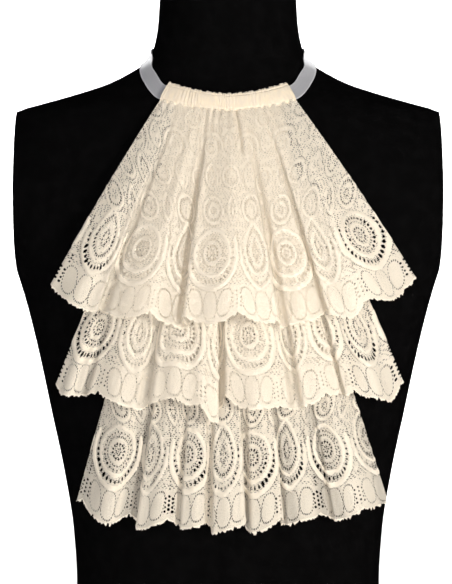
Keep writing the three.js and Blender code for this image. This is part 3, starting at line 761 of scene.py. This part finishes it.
def relief(u, w):
    """Height of the cloth's face over its middle surface: cords, petals domed over 2.2 mm from their edges with a
    small dip just outside them, and a rounded cord 1.6 mm in from the hem."""
    cords, _ = cord_field(u, w)
    petals, _ = petal_field(u, w)
    domes = PETAL_RISE * smooth(-petals / 2.2) - 0.1 * np.exp(-((petals - 0.6) / 0.8) ** 2)
    hem = HEM_RISE * np.exp(-((w - scallop_notch(u) - 1.6) / 1.1) ** 2)
    return np.maximum(cords, domes) + hem


def eyelet_rows(u, w):
    """Every row of openings at every place: distance from the row over half an opening's width, the way along
    over the pitch, half an opening's length over the pitch, how many a closed ring has, and if they are large."""
    rows = []
    for *shape, reach, bottom, side, length, pitch in EYELETS:
        off, _, turn = oval(u, w, *shape)
        wide = mix(side, bottom, np.cos(np.radians(turn / 2)) ** 6)
        half, up, down = shape[2:5]
        total = round(TAU * (half + (up + down) / 2) / 2 / pitch)
        away = np.where(within(turn, reach) > 0.3, off / wide, FAR)
        rows.append((away, turn / 360 * total, length / pitch, total, max(bottom, side) > LARGE_ROUND))
    off, along = petal_field(u, w)
    across, length, pitch = PETAL_STITCH
    rows.append(((off - STITCH_OFF) / across, along / pitch, length / pitch, 0, False))
    for middle, low, high, across, length, pitch, shift in UPRIGHT_ROWS:
        x = (u - middle + LACE_REPEAT / 2) % LACE_REPEAT - LACE_REPEAT / 2
        away = np.where((w > low) & (w < high), x / across, FAR)
        rows.append((away, w / pitch + shift, length / pitch, 0, across > LARGE_UPRIGHT))
    return rows


def openness(name, cloth, w):
    """How far the larger openings stand open: an even share, rising to 1 in a bell round each open place."""
    bells = [np.exp(-((cloth - at) ** 2 + (w - up) ** 2) / reach**2) for at, up, reach in OPEN_PLACES[name]]
    return mix(OPEN_SHARE[name], 1, np.clip(1.25 * np.max(bells, 0), 0, 1))


def openwork(corner_u, corner_w):
    """Gives each face the row of openings that is nearest to its middle, and its corners their place on it.
    The way round a ring is carried past a whole turn so that it doesn't jump inside a face."""
    at_face, at_corner = eyelet_rows(corner_u.mean(1), corner_w.mean(1)), eyelet_rows(corner_u, corner_w)
    nearest = np.argmin(np.stack([np.abs(away) for away, *_ in at_face]), 0)
    values = np.zeros(corner_u.shape + (4,))
    for k, ((_, face_way, *_), (away, way, gap, total, large)) in enumerate(zip(at_face, at_corner)):
        mine = nearest == k
        way = way[mine]
        if total:
            way = way + np.round((face_way[mine][:, None] - way) / total) * total
        ones = np.ones(way.shape)
        values[mine] = np.stack([away[mine], way + WAY_START, gap * ones, large * ones], -1)
    return np.moveaxis(values, -1, 0)


# ---- The lace tiers ----


def hem_line(folds, hem_start):
    """The hem from above, at even lengths of cloth: along each stretch of a fold the turn of the cloth is half a
    sine wave, and the line's mean slope and mean offset are taken out."""
    steps = 160
    bell = np.sin((np.arange(steps) + 0.5) / steps * np.pi)
    stretches = np.array(folds, float).reshape(-1, 2)
    turns = np.radians(stretches[:, 1]) * np.tile([1, -1, -1, 1], len(folds))
    length = np.repeat(stretches[:, 0] / steps, steps)
    angle = (turns[:, None] * bell).ravel()
    cloth, x, out = (np.append(0, np.cumsum(v)) for v in (length, length * np.cos(angle), length * np.sin(angle)))
    repeats = round(cloth[-1] / LACE_REPEAT * COLUMNS_PER_REPEAT) / COLUMNS_PER_REPEAT
    even = np.linspace(0, cloth[-1], round(repeats * GRID_PER_REPEAT) + 1)
    out = np.interp(even, cloth, out - out[-1] * cloth / cloth[-1])
    return np.interp(even, cloth, x + hem_start), out - out.mean(), repeats * LACE_REPEAT


def casing_sag(bearing):
    """How far the casing dips at a bearing: most at the middle, nothing at its ends."""
    return CASING_SAG * np.cos(np.radians(bearing / CASING_END * 90))


def gathered_edge(tier, share):
    """A tier's gathered edge: just under the casing for the top tier, on the backing for the others."""
    if tier["seam"] is None:
        bearing = mix(-CASING_END, CASING_END, share)
        down = CASING_HEIGHT / 2 + SEAM_GAP + casing_sag(bearing)
        return neck_points(bearing, -down, CASING_INSIDE + CASING_CROWN / 2)
    z, half = tier["seam"]
    x = mix(-half, half, share)
    return np.stack([x, chest_y(x, z) - SEAM_LIFT, np.full(x.shape, z)], -1)


def creases(name, cloth, t):
    """Soft ridges and troughs down the cloth: each is a bell across, drifting sideways with depth, and rises
    and dies out along its own stretch."""
    total = np.zeros(np.broadcast(cloth, t).shape)
    for at, start, end, width, high, drift in CREASES[name]:
        along = np.clip((t - start) / (end - start), 0, 1)
        bell = np.exp(-(((cloth - at - drift * along) / width) ** 2))
        total += high * bell * np.sin(np.pi * along) ** 0.8
    return total


def rumple(cloth, t):
    """Low uneven waves all over the cloth, growing from nothing at the gathered edge. Each of the two is a
    product of sines whose phases wander with the other direction."""
    wave = np.sin(cloth / 6.1 + 2.2 * np.sin(6.3 * t + cloth / 37)) * np.sin(cloth / 23 + 5 * t)
    slow = np.sin(cloth / 13.7 - 4.1 * t) * np.sin(7 * t + cloth / 19 + 1)
    return RUMPLE * (wave + slow) * np.clip(t, 0, 1) ** 0.7


def fine_gathers(cloth, t, deep):
    """Small pleats where the cloth is drawn up, forward only: a wave along the cloth whose length wanders,
    dying out down the tier."""
    wander = 1.7 * np.sin(cloth / 17.3) + 1.1 * np.sin(cloth / 7.7 + 1)
    wave = 1 + np.cos(TAU * cloth / FINE_GATHER_CLOTH + wander + 1.4 * t * np.sin(cloth / 11))
    fade = np.clip(1 - np.clip(t, 0, 1) / FINE_GATHER_DEPTH, 0, 1) ** 2.2
    return deep * wave * (0.6 + 0.4 * np.sin(cloth / 19 + 1)) * fade


def tier_surface(name, rows, gather):
    """The cloth's middle surface, rows by columns: its points, where each lies in the lace's design, how deep in
    a hollow it is from 0 to 1, and the cloth's whole width. Each line of cloth runs from the gathered edge to
    the hem at its full length, spreading out with a power of its depth while its folds open from nothing and
    its gathers die out."""
    tier = TIERS[name]
    x, out, cloth_end = hem_line(tier["folds"], tier["hem_start"])
    cloth = np.linspace(0, cloth_end, len(x))
    start = tier["phase"] * LACE_REPEAT / COLUMNS_PER_REPEAT
    top_x, top_y, top_z = gathered_edge(tier, cloth / cloth_end).T
    hem_y = hanging_y(x, top_z - LACE_DEPTH) - tier["hem_lift"] - out
    length = LACE_DEPTH - scallop_notch(cloth + start)
    hang = length + sum(more * np.exp(-(((cloth - at) / reach) ** 2)) for at, reach, more in HEM_DROPS[name])
    drop = np.sqrt(hang**2 - (x - top_x) ** 2 - (hem_y - top_y) ** 2)

    t = np.linspace(-SEAM_TUCK, 1, rows)[:, None]
    down = np.clip(t, 0, 1)
    px = mix(top_x, x, down ** tier["spread"])
    pz = top_z - drop * t
    opened = out * down ** tier["opening"]
    wave = np.cos(TAU * (cloth + start) / GATHER_CLOTH + 1.1 * np.sin(cloth / 23))
    gathers = GATHER_RELIEF * (0.6 + 0.4 * np.sin(cloth / 31 + 2)) * (1 - down) ** GATHER_FADE * wave
    forward = tier["hem_lift"] * (1 - (1 - down) ** 2) + opened + gathers
    forward += fine_gathers(cloth[None], t, gather) + creases(name, cloth[None], t) + rumple(cloth[None], t)
    py = hanging_y(px, pz) + (top_y - hanging_y(top_x, top_z)) * (1 - down) ** 2 - forward

    middle = cloth_end / 2
    narrow, fade = DRAWN_IN
    u = middle + (cloth - middle) * mix(narrow, 1, smooth(down / fade)) + start
    w = LACE_DEPTH - t * length
    return np.stack([px, py, pz], -1), u, w, smooth((-1 - opened) / 5), cloth_end


def grid_normals(points):
    """Unit vectors square to a grid of points, towards the front."""
    normal = np.cross(np.gradient(points, axis=0), np.gradient(points, axis=1))
    return normal / np.linalg.norm(normal, axis=-1, keepdims=True)


def cell_share(cell):
    """How far an opening is drawn open against its neighbours, from 0.7 to 1.12, with no order to it: the
    fraction of a large multiple of a sine of its number."""
    return 0.7 + 0.42 * (np.sin(cell * 12.9) * 43.7 % 1)


def lace_tier(name, rows, gather, thickness, material):
    """A tier's mesh: the middle surface, raised by the lace's relief, and given its thickness. Its corners carry
    what its material cuts and colours by. The material cuts nearly all of the openings: only the few faces that
    lie whole within one are left out of the mesh."""
    points, cloth, w, hollow, cloth_end = tier_surface(name, rows, gather)
    points = points + grid_normals(points) * relief(cloth, w)[..., None]
    quads = grid_quads(*cloth.shape)
    place = np.broadcast_to(np.linspace(0, cloth_end, cloth.shape[1]), cloth.shape)
    corner_u, corner_w = cloth.ravel()[quads], w.ravel()[quads]
    off, way, gap, large = openwork(corner_u, corner_w)
    cell = np.floor(way.mean(1, keepdims=True))
    wide = np.where(large > 0, openness(name, place.ravel()[quads], corner_w) * cell_share(cell), 1)
    off, gap = off / wide, gap * np.minimum(wide, 1)
    kept = np.hypot(off, (way - cell - 0.5) / gap).max(1) > LEFT_OUT
    quads, off, way, gap, corner_u, corner_w = (v[kept] for v in (quads, off, way, gap, corner_u, corner_w))
    used, flat = np.unique(quads, return_inverse=True)
    piece = new_piece(f"lace_tier_{name}", points.reshape(-1, 3)[used], flat.reshape(-1, 4), material=material)

    # The material reads how far in from the hem a corner is, where its net is open, and if it may have slits.
    ridge, cord = cord_field(corner_u, corner_w)
    petals, _ = petal_field(corner_u, corner_w)
    hem = corner_w - scallop_notch(corner_u)
    on_petal, on_cord, on_hem = smooth(-petals / 0.8), smooth(ridge / 0.2), smooth(2.6 - hem)
    net = mix(mix(NET_OPEN, NET_PETAL, on_petal), NET_SHUT, np.maximum(on_cord, on_hem))
    ground = (1 - on_cord) * (1 - on_petal) * smooth((corner_w - SLITS_FROM) / 4)
    # Openings are shut near the hem, and their edges are kept off the raised cords beside them.
    off = np.where((hem < 1.8) | ((ridge > 0.15) & (np.abs(off) > 0.9)), FAR, off)
    add_map(piece, corner_u.ravel(), corner_w.ravel())
    add_corners(piece, "eyelets", np.stack([off, way, gap], -1))
    add_corners(piece, "place", np.stack([hem, net, ground], -1))
    add_corners(piece, "cord", cord)
    add_corners(piece, "hollow", np.repeat(hollow.ravel()[quads][..., None], 3, -1))
    give_thickness(piece, thickness)
    return piece, cloth_end


# ---- Settings ----


Colour = partial(FloatVectorProperty, subtype="COLOR", size=3)
Length = partial(FloatProperty, unit="LENGTH")
Power = partial(FloatProperty, subtype="POWER")


class JABOT_PG_form(bpy.types.PropertyGroup):
    sides: IntProperty(name="Sides", description="Columns of the form's skin", default=256, min=48)
    colour: Colour(name="Cover", description="Colour of the stretch cover", default=(0.0019, 0.0018, 0.0018))
    plate: Length(name="Shoulder plate", description="From the middle to each shoulder plate", default=PLATE_X)


class JABOT_PG_lace(bpy.types.PropertyGroup):
    rows: IntProperty(name="Rows", description="Rows of each tier's mesh", default=142, min=40)
    thickness: Length(name="Thickness", description="Thickness of the lace", default=0.0005)
    gather: Length(name="Gathers", description="Half depth of the fine gathers", default=0.00012)
    colour: Colour(name="Cotton", description="Colour of the lace", default=(0.965, 0.868, 0.715))


class JABOT_PG_casing(bpy.types.PropertyGroup):
    gather_pitch: Length(name="Gather pitch", description="Mean width of one gather of the casing", default=0.0027)
    gather_depth: Length(name="Gather depth", description="Half depth of a gather", default=0.0002)


class JABOT_PG_ribbon(bpy.types.PropertyGroup):
    width: Length(name="Width", description="Width of the ribbon", default=0.016)
    thickness: Length(name="Thickness", description="Thickness of the ribbon", default=0.0005)
    colour: Colour(name="Satin", description="Colour of the ribbon", default=(0.3, 0.294, 0.298))


class JABOT_PG_backing(bpy.types.PropertyGroup):
    thickness: Length(name="Thickness", description="Thickness of the backing", default=0.0006)
    colour: Colour(name="Cotton", description="Colour of the backing", default=(0.84, 0.75, 0.61))


class JABOT_PG_studio(bpy.types.PropertyGroup):
    distance: Length(name="Distance", description="From the camera to the form's axis", default=2.2)
    height: Length(name="Height", description="Height of the camera", default=0.3645)
    lens: FloatProperty(name="Lens", description="Focal length in millimetres", default=145.5)
    key: Power(name="Key light", description="Power of the key light", default=70)
    fill: Power(name="Fill light", description="Power of the fill light", default=42)
    sweep: Power(name="Backdrop light", description="Power of each lamp on the backdrop's wall", default=150)


# ---- Operators ----


class JABOT_OT_form(bpy.types.Operator):
    """Build the black dress form"""

    bl_idname = "jabot.form"
    bl_label = "Dress form"

    def execute(self, context):
        """Rings of superellipses at even heights, drawn in level at the two shoulder plates by a soft limit,
        and closed flat at the base and the neck."""
        settings = context.scene.jabot_form
        heights = FORM_SECTIONS[:, 0]
        z = np.unique(np.concatenate([heights, np.linspace(heights[0], heights[-1], 165)]))[:, None]
        turn = np.linspace(0, TAU, settings.sides, endpoint=False)
        power = 2 / square_at(z)
        ahead, side = np.cos(turn), np.sin(turn)
        depth = np.where(ahead > 0, front_at(z), back_at(z))
        x = half_width_at(z) * np.sign(side) * np.abs(side) ** power
        y = -depth * np.sign(ahead) * np.abs(ahead) ** power
        plate, soft = settings.plate / MM, 0.5
        x = np.sign(x) * (plate - soft * np.logaddexp(0, (plate - np.abs(x)) / soft))
        rings = np.stack([x, y, np.broadcast_to(z, x.shape)], -1)
        piece = tube_piece("form_cover", rings[::-1], cover_material(settings.colour), (4, 4))
        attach(piece, "root")
        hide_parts("dress_form")
        return {"FINISHED"}


class JABOT_OT_casing(bpy.types.Operator):
    """Build the gathered casing at the neck"""

    bl_idname = "jabot.casing"
    bl_label = "Gathered casing"

    def execute(self, context):
        """A tunnel swept round the neck: a flat inner face, and an outer face that swells over the ribbon, is
        pinched along two rows of stitches and is ribbed by gathers whose pitch wanders. Its heading is
        ragged."""
        settings = context.scene.jabot_casing
        bearing = np.linspace(-CASING_END, CASING_END, 560)[:, None]
        way = np.radians(bearing) * CASING_RADIUS
        outside, inside = 40, 10
        level = np.concatenate([np.linspace(1, -1, outside), np.linspace(-1, 1, inside)])
        outer = np.arange(outside + inside) < outside
        pitch, deep = settings.gather_pitch / MM, settings.gather_depth / MM
        wander = 2.2 * np.sin(way / 9.1) + 1.3 * np.sin(way / 3.7 + 2) + 0.9 * level * np.sin(way / 6.3)
        phase = TAU * way / pitch + wander
        ribs = np.cos(phase) + 0.7 * np.cos(0.43 * phase + 1 + 2 * level)
        ribs = deep * ribs * (0.6 + 0.4 * np.sin(way / 5.1 + 2))
        stitches = sum(pinch * np.exp(-(((level - at) / reach) ** 2)) for at, reach, pinch in STITCH_ROWS)
        swell = mix(CASING_CROWN, CASING_EDGE, np.abs(level) ** 4)
        lift = CASING_INSIDE + np.where(outer, swell - stitches * 0.8 + ribs * (1 - 0.5 * stitches), 0 * way)
        sag = casing_sag(bearing)
        half = CASING_HEIGHT / 2 + CASING_FLARE * (1 - sag / CASING_SAG)
        ragged = HEADING_RAGGED * np.sin(phase * 0.37) * np.sin(phase * 0.11 + 1) + 0.35 * np.sin(phase)
        up = level * half - sag + HEADING_RAGGED * ragged * smooth((level - 0.8) / 0.2)
        rings = neck_points(bearing, up, lift)
        colour = context.scene.jabot_lace.colour
        piece = tube_piece("gathered_casing", rings, casing_material(colour), (0.21, 0.45))
        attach(piece, "root")
        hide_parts("neck_casing")
        return {"FINISHED"}


class JABOT_OT_ribbons(bpy.types.Operator):
    """Build the two satin ribbons that go round the neck"""

    bl_idname = "jabot.ribbons"
    bl_label = "Satin ribbons"

    def execute(self, context):
        """A flat band with slightly thicker selvedges, carried round the neckline from behind the casing to
        past the nape, where one end rises to lie on the other. Its UV map is the length along its middle and
        the place across it."""
        settings = context.scene.jabot_ribbon
        material = satin_material(settings.colour)
        half, thick = settings.width / MM / 2, settings.thickness / MM
        bearing = np.linspace(RIBBON_START, 180 + NAPE_LAP, 220)[:, None]
        count = 25
        across = np.concatenate([np.linspace(1, -1, count), np.linspace(-1, 1, count)])
        face = np.repeat([1, -1], count)
        edge = 0.5 + 0.22 * smooth((np.abs(across) - 0.82) / 0.08) - 0.3 * smooth((np.abs(across) - 0.95) / 0.05)
        near = smooth((bearing - 180 + 3 * NAPE_LAP) / (1.6 * NAPE_LAP))
        ripple = 0.12 * np.sin(bearing / 9) * np.sin(across * 2.5 + bearing / 23)
        for name, side in (("left", 1), ("right", -1)):
            lift = RIBBON_LIFT + (LAP_LIFT * near if side < 0 else 0) + ripple + face * edge * thick
            rings = neck_points((side * bearing + 360) % 360, across * half, lift)
            length = np.append(0, np.cumsum(np.linalg.norm(np.diff(rings[:, count // 2], axis=0), axis=1)))
            piece = tube_piece(f"satin_ribbon_{name}", rings[:, ::side], material, (1, 1))
            corner = np.empty(len(piece.data.loops), int)
            piece.data.loops.foreach_get("vertex_index", corner)
            ring, place = np.divmod(np.minimum(corner, len(bearing) * 2 * count - 1), 2 * count)
            uv = np.stack([length[ring], across[::side][place] * half], -1) * MM
            piece.data.uv_layers["cloth"].data.foreach_set("uv", uv.ravel())
            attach(piece, "root")
            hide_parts(f"ribbon_{name}")
        return {"FINISHED"}


class JABOT_OT_backing(bpy.types.Operator):
    """Build the plain backing that carries the two lower tiers"""

    bl_idname = "jabot.backing"
    bl_label = "Backing"

    def execute(self, context):
        """A sheet that follows the form's front at an even distance and widens downwards."""
        settings = context.scene.jabot_backing
        share = np.linspace(0, 1, 96)[:, None]
        z = mix(*BACKING_Z, share)
        x = np.linspace(-1, 1, 72) * mix(*BACKING_HALF, share)
        points = np.stack([x, chest_y(x, z) - BACKING_LIFT, np.broadcast_to(z, x.shape)], -1).reshape(-1, 3)
        quads = grid_quads(*x.shape)
        piece = new_piece("backing_panel", points, quads, material=backing_material(settings.colour))
        add_map(piece, *points[quads.ravel()][:, [0, 2]].T)
        give_thickness(piece, settings.thickness)
        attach(piece, "root")
        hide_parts("backing")
        return {"FINISHED"}


class JABOT_OT_tiers(bpy.types.Operator):
    """Build the three lace tiers"""

    bl_idname = "jabot.tiers"
    bl_label = "Lace tiers"

    def execute(self, context):
        """Each tier is one flounce of the same edging lace, gathered to its seam."""
        settings = context.scene.jabot_lace
        rests = {"top": "gathered_casing", "middle": "backing_panel", "bottom": "backing_panel"}
        for name, holder in rests.items():
            material = lace_material(name, settings.colour)
            piece, cloth = lace_tier(name, settings.rows, settings.gather / MM, settings.thickness, material)
            width, depth = cloth * MM, LACE_DEPTH * MM
            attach(piece, "root")
            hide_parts(f"tier_{name}")
            0.88 * width * depth
        return {"FINISHED"}


class JABOT_OT_studio(bpy.types.Operator):
    """Build the backdrop, the soft lights and the camera"""

    bl_idname = "jabot.studio"
    bl_label = "Studio"

    def execute(self, context):
        """A white floor that sweeps up into a round wall, a key light, a fill, four lights on the wall and the
        floor behind the form, and a long lens at the height of the chest."""
        scene = context.scene
        settings = scene.jabot_studio
        run, turn = np.linspace(0, 1, 60)[:, None], np.linspace(0, TAU, 97)
        bend = np.clip((run - 0.5) / 0.2, 0, 1) * np.pi / 2
        reach = mix(1, SWEEP["reach"], np.clip(run / 0.5, 0, 1)) + SWEEP["bend"] * np.sin(bend)
        z = SWEEP["bend"] * (1 - np.cos(bend)) + np.clip((run - 0.7) / 0.3, 0, 1) * SWEEP["wall"] - 0.5
        points = np.stack([reach * np.cos(turn), reach * np.sin(turn), z + 0 * turn], -1)
        quads = grid_quads(*points.shape[:2])
        paper = new_piece("round_paper_sweep", points.reshape(-1, 3), quads, material=paper_material())

        for name, (place, aim, setting, share, size, colour) in LAMPS.items():
            data = bpy.data.lights.new(name, "AREA")
            data.energy, data.size, data.color = getattr(settings, setting) * share, size, colour
            lamp = bpy.data.objects.new(name, data)
            lamp.location = place
            lamp.rotation_euler = (Vector(aim) - Vector(place)).to_track_quat("-Z", "Y").to_euler()
            lamp.visible_camera = False
            scene.collection.objects.link(lamp)
        world = bpy.data.worlds.new("soft_room")
        world.use_nodes = True
        room = world.node_tree.nodes["Background"]
        room.inputs[0].default_value, room.inputs[1].default_value = ROOM_LIGHT
        scene.world = world
        scene.view_settings.view_transform = "Standard"
        scene.cycles.transparent_max_bounces = 32

        data = bpy.data.cameras.new("camera")
        data.lens, data.sensor_width = settings.lens, 36
        camera = bpy.data.objects.new("camera", data)
        camera.location = (-0.0018, -settings.distance, settings.height)
        camera.rotation_euler = (np.pi / 2, 0, 0)
        scene.collection.objects.link(camera)
        scene.camera = camera
        return {"FINISHED"}


class JABOT_PT_panel(bpy.types.Panel):
    """Lists the jabot's pieces and their settings"""

    bl_idname = "JABOT_PT_panel"
    bl_label = "Lace jabot"
    bl_space_type = "VIEW_3D"
    bl_region_type = "UI"
    bl_category = "Jabot"

    def draw(self, context):
        for name, (_, operator) in PIECES.items():
            box = self.layout.box()
            box.operator(operator.bl_idname)
            settings = getattr(context.scene, name)
            for key in settings.__annotations__:
                box.prop(settings, key)


PIECES = {
    "jabot_form": (JABOT_PG_form, JABOT_OT_form),
    "jabot_casing": (JABOT_PG_casing, JABOT_OT_casing),
    "jabot_ribbon": (JABOT_PG_ribbon, JABOT_OT_ribbons),
    "jabot_backing": (JABOT_PG_backing, JABOT_OT_backing),
    "jabot_lace": (JABOT_PG_lace, JABOT_OT_tiers),
    "jabot_studio": (JABOT_PG_studio, JABOT_OT_studio),
}


def register():
    for name, (group, operator) in PIECES.items():
        bpy.utils.register_class(group)
        setattr(bpy.types.Scene, name, PointerProperty(type=group))
        bpy.utils.register_class(operator)
    bpy.utils.register_class(JABOT_PT_panel)


def unregister():
    bpy.utils.unregister_class(JABOT_PT_panel)
    for name, (group, operator) in reversed(PIECES.items()):
        bpy.utils.unregister_class(operator)
        delattr(bpy.types.Scene, name)
        bpy.utils.unregister_class(group)


def main():
    """Registers the add-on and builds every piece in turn."""
    register()
    bpy.ops.jabot.form()
    bpy.ops.jabot.casing()
    bpy.ops.jabot.ribbons()
    bpy.ops.jabot.backing()
    bpy.ops.jabot.tiers()
    bpy.ops.jabot.studio()


if __name__ == "__main__":
    main()
